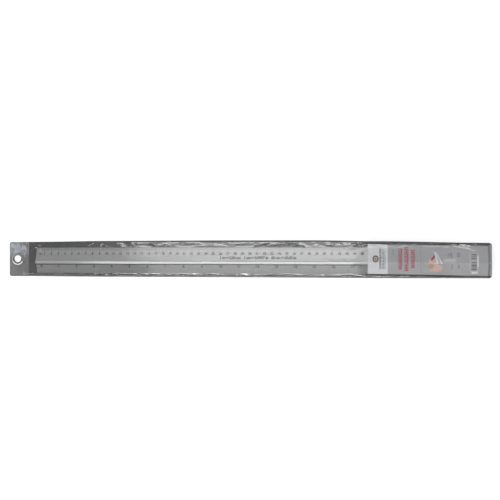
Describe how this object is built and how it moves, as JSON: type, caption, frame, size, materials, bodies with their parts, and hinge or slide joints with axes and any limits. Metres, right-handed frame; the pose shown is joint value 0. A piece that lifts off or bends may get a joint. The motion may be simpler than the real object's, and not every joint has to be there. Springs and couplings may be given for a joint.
{
  "type": "steel ruler",
  "caption": "Long folded steel safety ruler with a raised finger guard, in a clear hanging sleeve with a flexed printed card.",
  "frame": {"origin": "middle of the sleeve's flat back face", "axes": "+X along the ruler towards the sleeve's closed foot, +Y across it towards the centimetre edge, +Z out of the sleeve's front"},
  "size_m": [0.6586, 0.051, 0.0096],
  "materials": {
    "blade_steel": "satin, brushed along its length",
    "grip_rubber": "matt, finely ribbed",
    "clear_film": "clear and glossy, drawn tight over the guard",
    "smoke_film": "smoke grey, glossy, lightly rippled",
    "weld_film": "pressed and slightly frosted",
    "grey_card": "coated, satin",
    "white_label": "coated, satin",
    "scale_ink": "printed ink, satin",
    "blue_grey_ink": "printed ink, satin",
    "crimson_ink": "printed ink, satin",
    "brown_ink": "printed ink, satin",
    "skin_ink": "printed ink, satin",
    "teal_ink": "printed ink, satin",
    "white_ink": "printed ink, satin"
  },
  "bodies": {
    "sleeve": {"sleeve_back_film": "smoke_film", "sleeve_front_film": "clear_film", "side_weld_rear": "weld_film", "side_weld_front": "weld_film", "foot_weld": "weld_film"},
    "hang_tab": {"hang_tab_film": "smoke_film", "hang_hole_ring": "weld_film"},
    "card": {"card_insert": "grey_card", "card_head_label": "white_label", "barcode_sticker": "white_label"},
    "ruler": {"ruler_blade": "blade_steel", "grip_strip_rear": "grip_rubber", "grip_strip_front": "grip_rubber"}
  },
  "joints": [
    {"name": "ruler_slide", "type": "slide", "parent": "sleeve", "child": "ruler", "axis": [-1, 0, 0], "range_m": [0, 0.64]},
    {"name": "card_slide", "type": "slide", "parent": "sleeve", "child": "card", "axis": [-1, 0, 0], "range_m": [0, 0.64]},
    {"name": "tab_bend", "type": "hinge", "parent": "sleeve", "child": "hang_tab", "pos_m": [-0.3038, 0, 0], "axis": [0, 1, 0], "range_deg": [-150, 0], "stiffness_Nm_per_rad": 0.009}
  ]
}
